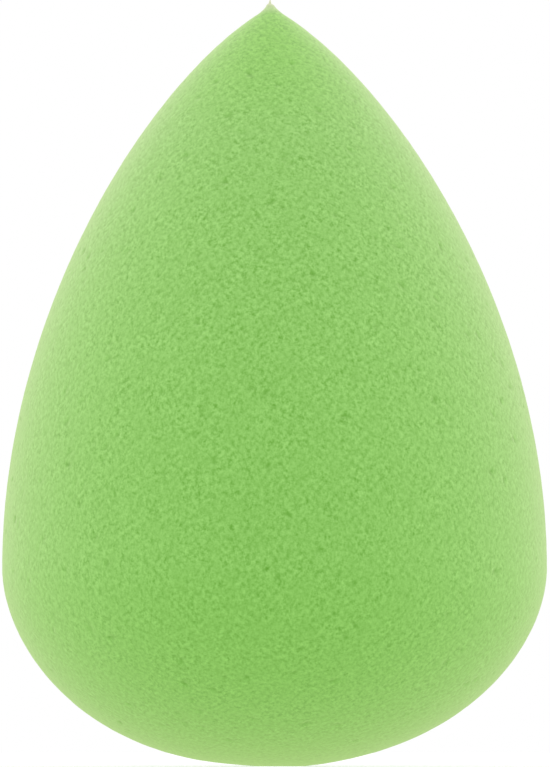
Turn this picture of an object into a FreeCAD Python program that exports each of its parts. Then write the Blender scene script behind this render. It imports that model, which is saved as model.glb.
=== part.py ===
import FreeCAD, Part
import math
import os

from FreeCAD import Vector

# A drop-shaped makeup sponge: one solid body of soft foam.
# Lengths are in millimetres and angles in degrees, +Z is up,
# and the origin is the middle of the flat that the sponge stands on.

# The drop
body_height = 60.0
belly_diameter = 43.0
belly_height = 16.0

# The rounded end rests on a small flat: the curve would run this far below it
foot_flat_depth = 0.5

# The flanks meet at the tip at this angle to the axis, and stay close to it for this far
tip_half_angle = 59.35
tip_taper_length = 11.9

# How far the outline keeps near the upright, above the belly and below it,
# as shares of the height from the belly to that end
upper_flank_share = 0.435
lower_flank_share = 0.603

# How far the underside keeps near the level, as a share of the belly's radius
underside_share = 0.454

# The stub of foam left at the tip
nib_root_diameter = 0.72
nib_top_diameter = 0.5
nib_rise = 0.16
nib_root_depth = 1.2

# How far a cutting tool runs past what it cuts
cut_overrun = 1.0


def curve(points):
    """One smooth edge in the XZ plane, drawn by its two ends and the two points between."""
    bezier = Part.BezierCurve()
    bezier.setPoles([Vector(radius, 0, height) for radius, height in points])
    return bezier.toShape()


def drop():
    """The body before its foot is cut: half of its outline, turned about the axis."""
    belly_radius = belly_diameter / 2
    lowest = -foot_flat_depth
    below_belly = belly_height - lowest
    above_belly = body_height - belly_height
    tip_angle = math.radians(tip_half_angle)
    underside = curve([
        (0, lowest),
        (underside_share * belly_radius, lowest),
        (belly_radius, belly_height - lower_flank_share * below_belly),
        (belly_radius, belly_height),
    ])
    flank = curve([
        (belly_radius, belly_height),
        (belly_radius, belly_height + upper_flank_share * above_belly),
        (tip_taper_length * math.sin(tip_angle), body_height - tip_taper_length * math.cos(tip_angle)),
        (0, body_height),
    ])
    axis = Part.makeLine(Vector(0, 0, body_height), Vector(0, 0, lowest))
    half_outline = Part.Face(Part.Wire([underside, flank, axis]))
    return half_outline.revolve(Vector(), Vector(0, 0, 1), 360)


def foot_cutter():
    """What lies below the surface that the sponge stands on."""
    depth = foot_flat_depth + cut_overrun
    return Part.makeCylinder(belly_diameter / 2, depth, Vector(0, 0, -depth))


def nib():
    """The stub at the tip, rooted in the body."""
    root = Vector(0, 0, body_height - nib_root_depth)
    return Part.makeCone(nib_root_diameter / 2, nib_top_diameter / 2, nib_root_depth + nib_rise, root)


foam_body = drop().cut(foot_cutter()).fuse(nib()).removeSplitter().Solids[0]

os.makedirs("parts", exist_ok=True)
foam_body.exportStep("parts/foam_body.step")

box = foam_body.BoundBox
print("valid", foam_body.isValid(), "faces", len(foam_body.Faces))
print("size", round(box.XLength, 2), round(box.YLength, 2), round(box.ZLength, 2))
print("volume", round(foam_body.Volume), "cubic mm, centre of mass", round(foam_body.CenterOfMass.z, 2), "mm up")
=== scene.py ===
import math
import random

import bmesh
import bpy
import numpy as np
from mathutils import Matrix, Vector, noise


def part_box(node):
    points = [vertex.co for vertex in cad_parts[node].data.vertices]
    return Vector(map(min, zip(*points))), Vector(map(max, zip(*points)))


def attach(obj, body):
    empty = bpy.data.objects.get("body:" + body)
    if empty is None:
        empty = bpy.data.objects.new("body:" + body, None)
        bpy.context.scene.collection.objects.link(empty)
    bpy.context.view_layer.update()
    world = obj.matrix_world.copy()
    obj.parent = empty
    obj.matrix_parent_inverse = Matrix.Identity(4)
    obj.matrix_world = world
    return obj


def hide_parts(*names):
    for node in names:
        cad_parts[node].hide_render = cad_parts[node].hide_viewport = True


# A drop-shaped makeup sponge of fine foam. Metres, +Z up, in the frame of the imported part.

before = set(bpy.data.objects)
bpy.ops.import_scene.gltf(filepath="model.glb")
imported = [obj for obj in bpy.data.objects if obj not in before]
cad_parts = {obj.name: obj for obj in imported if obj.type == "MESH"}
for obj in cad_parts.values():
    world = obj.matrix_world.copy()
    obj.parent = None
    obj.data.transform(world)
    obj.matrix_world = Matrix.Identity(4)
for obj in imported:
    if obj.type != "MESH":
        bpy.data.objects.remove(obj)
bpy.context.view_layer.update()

MM = 0.001
body_low, body_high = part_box("foam_body")
BELLY_RADIUS = (body_high.x - body_low.x) / 2

# The outline: where its curve would meet the axis, the belly, and how the two curves leave them
TIP_HEIGHT = 59.97 * MM
BELLY_HEIGHT = 15.65 * MM
LOWEST = -0.04 * MM
UPPER_FLANK_SHARE = 0.475
LOWER_FLANK_SHARE = 0.394
UNDERSIDE_SHARE = 0.69
TIP_HALF_ANGLE = math.radians(61.6)
TIP_TAPER_LENGTH = 10.1 * MM
OUTLINE_STEPS = 2000

# The drop isn't quite true: its axis drifts to -X towards both ends, and faster the nearer it comes to them.
# The foot, in its last bit of height, drifts to +X.
TIP_DRIFT = -0.32 * MM
UNDERSIDE_DRIFT = -0.4 * MM
DRIFT_POWER = 2.5
FOOT_SHIFT = 0.9 * MM
FOOT_SHIFT_HEIGHT = 0.25 * MM

# The stub of foam at the tip: where the flank starts to flare into it, how long the flare keeps to the flank
# and to the stub, as shares of its height, and the stub's own radius, lean, shoulder and top
FLARE_RADIUS = 1.03 * MM
FLARE_SHARES = (0.25, 0.15)
NIB_RADIUS = 0.34 * MM
NIB_LEAN = 0.3
NIB_SHOULDER = 60.02 * MM
NIB_TOP = 60.18 * MM

# The wisp that is drawn out of the crown, a little to one side
WISP_ROOT_RADIUS = 0.12 * MM
WISP_TOP_RADIUS = 0.025 * MM
WISP_ROOT_RISE = 0.05 * MM
WISP_TOP = 60.56 * MM
WISP_PLACE = -0.05 * MM
WISP_LEAN = 0.04 * MM

# The mesh of the skin: the spacing of its points on the body and at the tip, how far from the tip it changes,
# how far apart the rings are and how far a point may stray, as shares of it, and the fewest points in a ring
SPACING = 0.29 * MM
TIP_SPACING = 0.06 * MM
TIP_REACH = 4.0 * MM
ROW_SHARE = 0.87
JITTER_SHARE = 0.2
LEAST_RING = 6

# How rough the torn skin is: its height, its sizes and what each adds, and what share of it the tip has
ROUGH_HEIGHT = 0.014 * MM
ROUGH_SIZES = (0.7 * MM, 1.6 * MM)
ROUGH_SHARES = (1.0, 0.5)
TIP_ROUGH_SHARE = 0.3

# The larger pores, open at the skin: how many, how far apart at least, how deep, with more of the shallow
# ones, what share of them is long, and the height under which there are none
PORE_COUNT = 1300
PORE_GAP = 0.7 * MM
PORE_DEPTHS = (0.02 * MM, 0.1 * MM)
PORE_DEPTH_POWER = 2.5
PORE_LONG_SHARE = 0.4
PORE_LOWEST = 2.0 * MM
PORE_MARK = "pore"

# The map that the finish can be laid out on: its seam, as a share of a turn, the height that it is unrolled
# about, and what share of the map the skin takes. A face that reaches over half a turn lies across the seam.
MAP_NAME = "OFBake"
MAP_SEAM = 0.25
HALF_TURN = 0.5
MAP_MIDDLE = 22 * MM
MAP_WIDTH = 0.99
MAP_HEIGHT = 0.995

# The foam's colour: its cells in painted shade, as deep in their hollows, and in painted light, as on their
# tops, the painted shade it is multiplied by towards the tip, how much painted shade the larger pores get,
# and the painted light that makes the thin nib pale
FOAM_SHADED = (0.087, 0.312, 0.007)
FOAM_LIT = (0.34, 0.666, 0.186)
TIP_PAINTED_SHADE = (0.81, 0.99, 0.485)
TIP_PAINTED_SHADE_HEIGHTS = (50 * MM, 59 * MM)
PORE_PAINTED_SHADE = 0.8
NIB_PAINTED_LIGHT = (0.64, 0.62, 0.48)
NIB_PAINTED_LIGHT_HEIGHTS = (59.35 * MM, 60.4 * MM)

# The middle of noise and of shade, which run from 0 to 1
MIDDLE = 0.5

# The grain of its cells, painted as shade in their hollows and light on their tops, and how far from the
# middle of the noise it is fully light or dark
GRAIN_SIZE = 0.27 * MM
GRAIN_DETAIL = 2.0
GRAIN_ROUGHNESS = 0.7
GRAIN_SPREAD = 0.245

# What keeps the grain crisp: this share of its average over the skin around, at this reach, is taken off it
NEIGHBOUR_REACH = 0.4 * MM
NEIGHBOUR_SHARE = 0.28

# How much more it swings to the dark than to the light, and how strong it is at the floor, as a share of what
# it is from this height up
GRAIN_LEAN = 0.35
GRAIN_LOW_SHARE = 0.81
GRAIN_FULL_HEIGHT = 40 * MM

# The patches in which it is weaker, by up to this share
PATCH_SIZE = 1.4 * MM
PATCH_DETAIL = 1.0
PATCH_SPREAD = 0.2
PATCH_SHARE = 0.45

# How much taller than wide the grain, its patches and its cells are
CELL_RISE = 1.15

# The relief of the grain, and the round cells that are added to it
BUMP_HEIGHT = 0.06 * MM
BUMP_STRENGTH = 0.3
CELL_SIZE = 0.2 * MM
CELL_SHARE = 0.35

# The finish: dull, with the soft bloom of foam at the edges
FOAM_ROUGHNESS = 0.95
FOAM_SPECULAR = 0.1
SHEEN_WEIGHT = 1.0
SHEEN_ROUGHNESS = 0.65
SHEEN_TINT = (0.69, 0.666, 0.526)

# The light, as strengths: from all round, and what two large soft boxes at the sides add.
# From below it is weaker and greener, as what a table sends back from under the sponge, and weakest at the
# back: its colours there, and how far under the horizon it takes to get to them
EVEN_LIGHT = 1.007
SIDE_LIGHT = 0.56
LOW_LIGHT = (0.6, 0.82, 0.35)
LOW_LIGHT_BACK = (0.3, 0.41, 0.175)
LOW_LIGHT_REACH = -0.25
WHITE = (1, 1, 1, 1)

# The floor: how pale, and how wide
FLOOR_TONE = 0.98
FLOOR_SIZE = 6.0

# The draw of all that is random
SEED = 7

# The view: the frame, how many of its pixels the sponge's height takes, where its axis and the floor lie in
# it, and how far off and how high the camera stands
FRAME_WIDTH = 550
FRAME_HEIGHT = 768
SPONGE_HEIGHT = 60 * MM
SPONGE_PIXELS = 760
PIXELS_PER_METRE = SPONGE_PIXELS / SPONGE_HEIGHT
AXIS_COLUMN = 274.55
FLOOR_ROW = 766.1
CAMERA_DISTANCE = 1.5
CAMERA_HEIGHT = 1.5 * MM
SENSOR_WIDTH = 36.0


def bezier(points, steps):
    """Points along one cubic curve, as rows of radius and height."""
    t = np.linspace(0, 1, steps)[:, None]
    a, b, c, d = (np.array(p) for p in points)
    return a * (1 - t) ** 3 + 3 * b * t * (1 - t) ** 2 + 3 * c * t * t * (1 - t) + d * t ** 3


def outline():
    """The half outline, from the floor to the top of the wisp."""
    below, above = BELLY_HEIGHT - LOWEST, TIP_HEIGHT - BELLY_HEIGHT
    underside = bezier([
        (0, LOWEST),
        (UNDERSIDE_SHARE * BELLY_RADIUS, LOWEST),
        (BELLY_RADIUS, BELLY_HEIGHT - LOWER_FLANK_SHARE * below),
        (BELLY_RADIUS, BELLY_HEIGHT),
    ], OUTLINE_STEPS)
    taper_out = TIP_TAPER_LENGTH * math.sin(TIP_HALF_ANGLE)
    taper_down = TIP_TAPER_LENGTH * math.cos(TIP_HALF_ANGLE)
    flank = bezier([
        (BELLY_RADIUS, BELLY_HEIGHT),
        (BELLY_RADIUS, BELLY_HEIGHT + UPPER_FLANK_SHARE * above),
        (taper_out, TIP_HEIGHT - taper_down),
        (0, TIP_HEIGHT),
    ], OUTLINE_STEPS)
    flank = flank[flank[:, 0] > FLARE_RADIUS]
    (below_radius, below_height), (root_radius, root_height) = flank[-2:]
    lean = (below_radius - root_radius) / (root_height - below_height)
    root_reach, nib_reach = (share * (NIB_SHOULDER - root_height) for share in FLARE_SHARES)
    flare = bezier([
        (root_radius, root_height),
        (root_radius - lean * root_reach, root_height + root_reach),
        (NIB_RADIUS + NIB_LEAN * nib_reach, NIB_SHOULDER - nib_reach),
        (NIB_RADIUS, NIB_SHOULDER),
    ], OUTLINE_STEPS)
    crown = bezier([
        (NIB_RADIUS, NIB_SHOULDER),
        (NIB_RADIUS - NIB_LEAN * (NIB_TOP - NIB_SHOULDER), NIB_TOP),
        (WISP_ROOT_RADIUS, NIB_TOP),
        (WISP_ROOT_RADIUS, NIB_TOP + WISP_ROOT_RISE),
    ], OUTLINE_STEPS)
    wisp = np.linspace(crown[-1], (WISP_TOP_RADIUS, WISP_TOP), OUTLINE_STEPS)
    path = np.concatenate([underside, flank[1:], flare[1:], crown[1:], wisp[1:], [(0, WISP_TOP)]])
    path[:, 1] = np.maximum(path[:, 1], 0)
    return path


def along(path):
    """The length of the outline up to each of its points."""
    return np.concatenate([[0], np.cumsum(np.linalg.norm(np.diff(path, axis=0), axis=1))])


def spacing_at(place, end):
    """How far apart the skin's points are at that distance along the outline: closer together at the tip."""
    return TIP_SPACING + (SPACING - TIP_SPACING) * min(1, (end - place) / TIP_REACH)


def rows(end):
    """Distances along the outline at which the rings of points lie."""
    places, place = [], SPACING * ROW_SHARE
    while place < end - TIP_SPACING / 2:
        places.append(place)
        place += ROW_SHARE * spacing_at(place, end)
    return places


def drift(height):
    """How far the middle of the drop lies off the axis at that height."""
    if height > BELLY_HEIGHT:
        wisp = np.interp(height, (NIB_SHOULDER, NIB_TOP, WISP_TOP), (0, WISP_PLACE, WISP_PLACE + WISP_LEAN))
        return wisp + TIP_DRIFT * ((height - BELLY_HEIGHT) / (TIP_HEIGHT - BELLY_HEIGHT)) ** DRIFT_POWER
    foot = FOOT_SHIFT * math.exp(-height / FOOT_SHIFT_HEIGHT)
    return foot + UNDERSIDE_DRIFT * (1 - height / BELLY_HEIGHT) ** DRIFT_POWER


def placed(angle, radius, height):
    """The point at that angle, radius and height, about the middle of the drop."""
    return Vector((radius * math.cos(angle) + drift(height), radius * math.sin(angle), height))


def skin_rings(path, length, rng):
    """The rings of points, from the lowest up, each turned to start near the start of the one below it."""
    radii, heights = path.T
    end, rings = length[-1], []
    for row in rows(end):
        spacing = spacing_at(row, end)
        count = max(LEAST_RING, round(math.tau * np.interp(row, length, radii) / spacing))
        phase = rng.random()
        ring = []
        for i in range(count):
            angle = (i + phase + JITTER_SHARE * rng.uniform(-1, 1)) * math.tau / count
            place = row + JITTER_SHARE * spacing * rng.uniform(-1, 1)
            ring.append(placed(angle, np.interp(place, length, radii), np.interp(place, length, heights)))
        if rings:
            below = rings[-1][0]
            nearest = min(range(count), key=lambda i: (ring[i] - below).length)
            ring = ring[nearest:] + ring[:nearest]
        rings.append(ring)
    return rings


def zip_rings(lower, upper, points):
    """Triangles between two rings of points' numbers: always the shorter way across."""
    faces, i, j = [], 0, 0
    n, m = len(lower), len(upper)
    while i < n or j < m:
        a, next_a = lower[i % n], lower[(i + 1) % n]
        b, next_b = upper[j % m], upper[(j + 1) % m]
        if j == m:
            step_lower = True
        elif i == n:
            step_lower = False
        else:
            from_lower = (points[next_a] - points[b]).length_squared
            from_upper = (points[next_b] - points[a]).length_squared
            step_lower = from_lower < from_upper
        if step_lower:
            faces.append((a, next_a, b))
            i += 1
        else:
            faces.append((a, next_b, b))
            j += 1
    return faces


def with_next(ring):
    """Each number in the ring, with the one after it."""
    return zip(ring, [*ring[1:], ring[0]])


def skin(path, length, rng):
    """The closed mesh of the drop: its points, of which the first and last are its poles, and its faces."""
    points, rings = [placed(0, 0, 0)], []
    for ring in skin_rings(path, length, rng):
        rings.append(range(len(points), len(points) + len(ring)))
        points += ring
    points.append(placed(0, 0, WISP_TOP))
    bottom, top = 0, len(points) - 1
    faces = [(bottom, after, number) for number, after in with_next(rings[0])]
    for lower, upper in zip(rings, rings[1:]):
        faces += zip_rings(lower, upper, points)
    faces += [(number, after, top) for number, after in with_next(rings[-1])]
    return points, faces


def roughen(form):
    """Moves each point of the skin in or out a little, as the torn cells of foam leave it."""
    form.normal_update()
    moves = []
    for point in form.verts:
        swell = sum(
            share * noise.noise(point.co / size)
            for share, size in zip(ROUGH_SHARES, ROUGH_SIZES)
        )
        strength = min(1, max(0, TIP_HEIGHT - point.co.z) / TIP_REACH + TIP_ROUGH_SHARE)
        moves.append(point.normal * swell * strength * ROUGH_HEIGHT)
    for point, move in zip(form.verts, moves):
        point.co += move
        point.co.z = max(point.co.z, 0)


def map_skin(form, layer, poles, path, length):
    """Unrolls the skin about its axis, with the seam at the back.

    The angle runs across the map, and the way along the outline runs up it.
    """
    path_turns = np.arctan2(path[:, 1] - MAP_MIDDLE, path[:, 0])
    for face in form.faces:
        spots = []
        for loop in face.loops:
            point = loop.vert.co
            x, z = point.x - drift(point.z), point.z - MAP_MIDDLE
            across = (math.atan2(point.y, x) / math.tau - MAP_SEAM) % 1
            up = np.interp(math.atan2(z, math.hypot(x, point.y)), path_turns, length) / length[-1]
            spots.append([across, up])
        off_axis = [spot for spot, loop in zip(spots, face.loops) if loop.vert not in poles]
        if max(off_axis)[0] - min(off_axis)[0] > HALF_TURN:
            for spot in off_axis:
                if spot[0] < HALF_TURN:
                    spot[0] += 1
        middle = sum(spot[0] for spot in off_axis) / len(off_axis)
        for loop, (across, up) in zip(face.loops, spots):
            if loop.vert in poles:
                across = middle
            loop[layer].uv = (across * MAP_WIDTH, up * MAP_HEIGHT)


def pore_places(form, rng):
    """Points of the skin for the larger pores, no two closer than their gap."""
    free = [v for v in form.verts if PORE_LOWEST < v.co.z < TIP_HEIGHT - TIP_REACH]
    rng.shuffle(free)
    taken, found = {}, []
    for point in free:
        cell = tuple(int(x // PORE_GAP) for x in point.co)
        near = [
            other
            for dx in (-1, 0, 1) for dy in (-1, 0, 1) for dz in (-1, 0, 1)
            for other in taken.get((cell[0] + dx, cell[1] + dy, cell[2] + dz), [])
        ]
        if all((other.co - point.co).length > PORE_GAP for other in near):
            taken.setdefault(cell, []).append(point)
            found.append(point)
            if len(found) == PORE_COUNT:
                break
    return found


def open_pores(form, mark, rng):
    """Sinks the skin at each chosen point, and marks how deep each point lies in its pore."""
    form.normal_update()
    shallow, deep = PORE_DEPTHS
    for point in pore_places(form, rng):
        depth = shallow + (deep - shallow) * rng.random() ** PORE_DEPTH_POWER
        sunk = [point]
        if rng.random() < PORE_LONG_SHARE:
            sunk.append(rng.choice(point.link_edges).other_vert(point))
        for each in sunk:
            each.co -= each.normal * depth
            each[mark] = depth / deep


def put(name, data):
    """A new object in the scene."""
    thing = bpy.data.objects.new(name, data)
    bpy.context.scene.collection.objects.link(thing)
    return thing


def make_sponge():
    """The sponge's skin, rough, with its pores and its map."""
    rng = random.Random(SEED)
    path = outline()
    length = along(path)
    points, faces = skin(path, length, rng)
    mesh = bpy.data.meshes.new("foam_sponge")
    mesh.from_pydata([p[:] for p in points], [], faces)
    form = bmesh.new()
    form.from_mesh(mesh)
    mark = form.verts.layers.float.new(PORE_MARK)
    layer = form.loops.layers.uv.new(MAP_NAME)
    form.verts.ensure_lookup_table()
    poles = (form.verts[0], form.verts[-1])
    roughen(form)
    open_pores(form, mark, rng)
    map_skin(form, layer, poles, path, length)
    for face in form.faces:
        face.smooth = True
    form.to_mesh(mesh)
    form.free()
    return put("foam_sponge", mesh)


class Nodes:
    """Short calls for building a node tree."""

    # The Mix node's sockets for colours, by number: those for its other kinds of data have the same names
    MIX_SHARE, MIX_A, MIX_B = 0, 6, 7
    MIX_RESULT = 2

    def __init__(self, tree):
        self.tree = tree

    def add(self, kind, **values):
        """A new node, with these values of its sockets or settings."""
        node = self.tree.nodes.new(kind)
        for name, value in values.items():
            if name in node.inputs:
                node.inputs[name].default_value = value
            else:
                setattr(node, name, value)
        return node

    def link(self, source, target):
        """Feeds one socket into another."""
        self.tree.links.new(source, target)

    def feed(self, value, socket):
        """Links the socket to another, or sets it to a plain value."""
        if isinstance(value, bpy.types.NodeSocket):
            self.link(value, socket)
        else:
            socket.default_value = value

    def math(self, operation, a, b):
        """Arithmetic on sockets and plain numbers."""
        node = self.add("ShaderNodeMath", operation=operation)
        self.feed(a, node.inputs[0])
        self.feed(b, node.inputs[1])
        return node.outputs[0]

    def vector(self, operation, *values):
        """Vector arithmetic on sockets and plain vectors."""
        node = self.add("ShaderNodeVectorMath", operation=operation)
        for value, socket in zip(values, node.inputs):
            self.feed(value, socket)
        return node.outputs["Vector"]

    def ramp(self, value, start, end):
        """0 up to the start, 1 from the end on, and even between."""
        node = self.add("ShaderNodeMapRange")
        self.feed(value, node.inputs["Value"])
        self.feed(start, node.inputs["From Min"])
        self.feed(end, node.inputs["From Max"])
        return node.outputs["Result"]

    def mix(self, share, a, b, blend="MIX"):
        """A colour from a to b, or to what the blend makes of the two."""
        node = self.add("ShaderNodeMix", data_type="RGBA", blend_type=blend)
        self.feed(share, node.inputs[self.MIX_SHARE])
        self.feed(a, node.inputs[self.MIX_A])
        self.feed(b, node.inputs[self.MIX_B])
        return node.outputs[self.MIX_RESULT]

    def mottle(self, where, size, detail, roughness):
        """Cloudy noise of that size, from 0 to 1."""
        node = self.add("ShaderNodeTexNoise", noise_dimensions="3D")
        self.feed(where, node.inputs["Vector"])
        node.inputs["Scale"].default_value = 1 / size
        node.inputs["Detail"].default_value = detail
        node.inputs["Roughness"].default_value = roughness
        return node.outputs["Fac"]

    def glow(self, colour, strength):
        """The light of a background of that colour and strength."""
        node = self.add("ShaderNodeBackground")
        self.feed(colour, node.inputs["Color"])
        self.feed(strength, node.inputs["Strength"])
        return node.outputs[0]


def grain_at(nodes, where):
    """The noise that the grain is made of."""
    return nodes.mottle(where, GRAIN_SIZE, GRAIN_DETAIL, GRAIN_ROUGHNESS)


def grain_around(nodes, where):
    """The grain's average at four points of the skin around each point, up, down and to both sides of it."""
    facing = nodes.add("ShaderNodeNewGeometry").outputs["Normal"]
    across = nodes.vector("NORMALIZE", nodes.vector("CROSS_PRODUCT", facing, (0, 0, 1)))
    upwards = nodes.vector("CROSS_PRODUCT", facing, across)
    spots = [
        nodes.vector("MULTIPLY_ADD", way, (reach, reach, reach), where)
        for way in (across, upwards)
        for reach in (-NEIGHBOUR_REACH, NEIGHBOUR_REACH)
    ]
    total = 0.0
    for spot in spots:
        total = nodes.math("ADD", grain_at(nodes, spot), total)
    return nodes.math("DIVIDE", total, len(spots))


def foam_material():
    """Fine green foam, with a soft bloom at the edges.

    Its cells and larger pores carry painted light and shade, the tip painted shade and the thin nib painted
    light.
    """
    material = bpy.data.materials.new("green_foam")
    material.use_nodes = True
    nodes = Nodes(material.node_tree)
    shader = material.node_tree.nodes["Principled BSDF"]
    place = nodes.add("ShaderNodeTexCoord").outputs["Object"]
    parts = nodes.add("ShaderNodeSeparateXYZ")
    nodes.link(place, parts.inputs["Vector"])
    height = parts.outputs["Z"]
    where = nodes.vector("MULTIPLY", place, (1, 1, 1 / CELL_RISE))

    grain = grain_at(nodes, where)
    patches = nodes.mottle(where, PATCH_SIZE, PATCH_DETAIL, GRAIN_ROUGHNESS)
    cells = nodes.add("ShaderNodeTexVoronoi", feature="F1")
    cells.inputs["Scale"].default_value = 1 / CELL_SIZE
    nodes.link(where, cells.inputs["Vector"])

    shared = nodes.math("SUBTRACT", grain_around(nodes, where), MIDDLE)
    crisp = nodes.math("SUBTRACT", grain, nodes.math("MULTIPLY", shared, NEIGHBOUR_SHARE))
    hollow = nodes.ramp(crisp, MIDDLE + GRAIN_SPREAD, MIDDLE - GRAIN_SPREAD)
    patch = nodes.ramp(patches, MIDDLE - PATCH_SPREAD, MIDDLE + PATCH_SPREAD)
    calm = nodes.math("SUBTRACT", 1.0, nodes.math("MULTIPLY", patch, PATCH_SHARE))
    swing = nodes.math("MULTIPLY", nodes.math("SUBTRACT", hollow, MIDDLE), calm)
    rise = nodes.math("MULTIPLY", nodes.ramp(height, 0.0, GRAIN_FULL_HEIGHT), 1 - GRAIN_LOW_SHARE)
    swing = nodes.math("MULTIPLY", swing, nodes.math("ADD", rise, GRAIN_LOW_SHARE))
    lean = nodes.math("ADD", nodes.math("MULTIPLY", swing, GRAIN_LEAN), 1.0)
    shade = nodes.math("ADD", nodes.math("MULTIPLY", swing, lean), MIDDLE)

    # The cells' painted light and shade
    foam = nodes.mix(shade, (*FOAM_LIT, 1), (*FOAM_SHADED, 1))
    # Painted shade in the larger pores, the deeper the darker
    pore = nodes.add("ShaderNodeAttribute", attribute_name=PORE_MARK)
    foam = nodes.mix(nodes.math("MULTIPLY", pore.outputs["Fac"], PORE_PAINTED_SHADE), foam, (*FOAM_SHADED, 1))
    # Painted shade that deepens the colour towards the tip
    foam = nodes.mix(nodes.ramp(height, *TIP_PAINTED_SHADE_HEIGHTS), foam, (*TIP_PAINTED_SHADE, 1), "MULTIPLY")
    # Painted light that makes the thin nib pale
    foam = nodes.mix(nodes.ramp(height, *NIB_PAINTED_LIGHT_HEIGHTS), foam, (*NIB_PAINTED_LIGHT, 1))
    nodes.link(foam, shader.inputs["Base Color"])

    relief = nodes.math("ADD", grain, nodes.math("MULTIPLY", cells.outputs["Distance"], CELL_SHARE))
    bump = nodes.add("ShaderNodeBump")
    bump.inputs["Distance"].default_value = BUMP_HEIGHT
    bump.inputs["Strength"].default_value = BUMP_STRENGTH
    nodes.link(relief, bump.inputs["Height"])
    nodes.link(bump.outputs["Normal"], shader.inputs["Normal"])

    shader.inputs["Roughness"].default_value = FOAM_ROUGHNESS
    shader.inputs["Specular IOR Level"].default_value = FOAM_SPECULAR
    shader.inputs["Sheen Weight"].default_value = SHEEN_WEIGHT
    shader.inputs["Sheen Roughness"].default_value = SHEEN_ROUGHNESS
    shader.inputs["Sheen Tint"].default_value = (*SHEEN_TINT, 1)
    return material


def make_floor():
    """A plain pale floor. The light from below comes through it, as on a light table."""
    mesh = bpy.data.meshes.new("floor")
    far = FLOOR_SIZE / 2
    mesh.from_pydata([(-far, -far, 0), (far, -far, 0), (far, far, 0), (-far, far, 0)], [], [(0, 1, 2, 3)])
    floor = put("floor", mesh)
    material = bpy.data.materials.new("pale_floor")
    material.use_nodes = True
    shader = material.node_tree.nodes["Principled BSDF"]
    shader.inputs["Base Color"].default_value = (FLOOR_TONE, FLOOR_TONE, FLOOR_TONE, 1)
    shader.inputs["Roughness"].default_value = 1
    shader.inputs["Specular IOR Level"].default_value = 0
    mesh.materials.append(material)

    # It neither lights the sponge nor shows in it, and lets the light from below through
    floor.visible_diffuse = False
    floor.visible_glossy = False
    floor.visible_shadow = False


def make_light():
    """Soft light from all round, stronger at the sides and weaker below. The camera sees plain white."""
    world = bpy.data.worlds.new("studio")
    bpy.context.scene.world = world
    world.use_nodes = True
    nodes = Nodes(world.node_tree)
    output = world.node_tree.nodes["World Output"]
    world.node_tree.nodes.remove(world.node_tree.nodes["Background"])
    parts = nodes.add("ShaderNodeSeparateXYZ")
    nodes.link(nodes.add("ShaderNodeTexCoord").outputs["Generated"], parts.inputs["Vector"])
    x, y, z = parts.outputs
    low = nodes.mix(nodes.ramp(y, 0.0, 1.0), (*LOW_LIGHT, 1), (*LOW_LIGHT_BACK, 1))
    even = nodes.glow(nodes.mix(nodes.ramp(z, 0.0, LOW_LIGHT_REACH), WHITE, low), EVEN_LIGHT)
    sides = nodes.glow(WHITE, nodes.math("MULTIPLY", nodes.math("MULTIPLY", x, x), SIDE_LIGHT))
    light = nodes.add("ShaderNodeAddShader")
    nodes.link(even, light.inputs[0])
    nodes.link(sides, light.inputs[1])
    rays = nodes.add("ShaderNodeLightPath")
    through = nodes.math("MAXIMUM", rays.outputs["Is Glossy Ray"], rays.outputs["Is Transmission Ray"])
    choice = nodes.add("ShaderNodeMixShader")
    nodes.link(nodes.math("MAXIMUM", rays.outputs["Is Camera Ray"], through), choice.inputs[0])
    nodes.link(light.outputs[0], choice.inputs[1])
    nodes.link(nodes.glow(WHITE, 1.0), choice.inputs[2])
    nodes.link(choice.outputs[0], output.inputs["Surface"])


def make_camera():
    """Level with the sponge, low over the floor and far off, framed as the photograph is."""
    camera = bpy.data.cameras.new("camera")
    holder = put("camera", camera)
    bpy.context.scene.camera = holder
    across = (FRAME_WIDTH / 2 - AXIS_COLUMN) / PIXELS_PER_METRE
    middle = (FLOOR_ROW - FRAME_HEIGHT / 2) / PIXELS_PER_METRE
    holder.location = (across, -CAMERA_DISTANCE, CAMERA_HEIGHT)
    target = Vector((across, 0, middle))
    holder.rotation_euler = (target - holder.location).to_track_quat("-Z", "Y").to_euler()
    camera.sensor_width = SENSOR_WIDTH
    camera.lens = SENSOR_WIDTH * CAMERA_DISTANCE * PIXELS_PER_METRE / FRAME_HEIGHT


sponge = make_sponge()
sponge.data.materials.append(foam_material())
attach(sponge, "root")
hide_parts("foam_body")

make_floor()
make_light()
make_camera()
bpy.context.scene.view_settings.view_transform = "Standard"
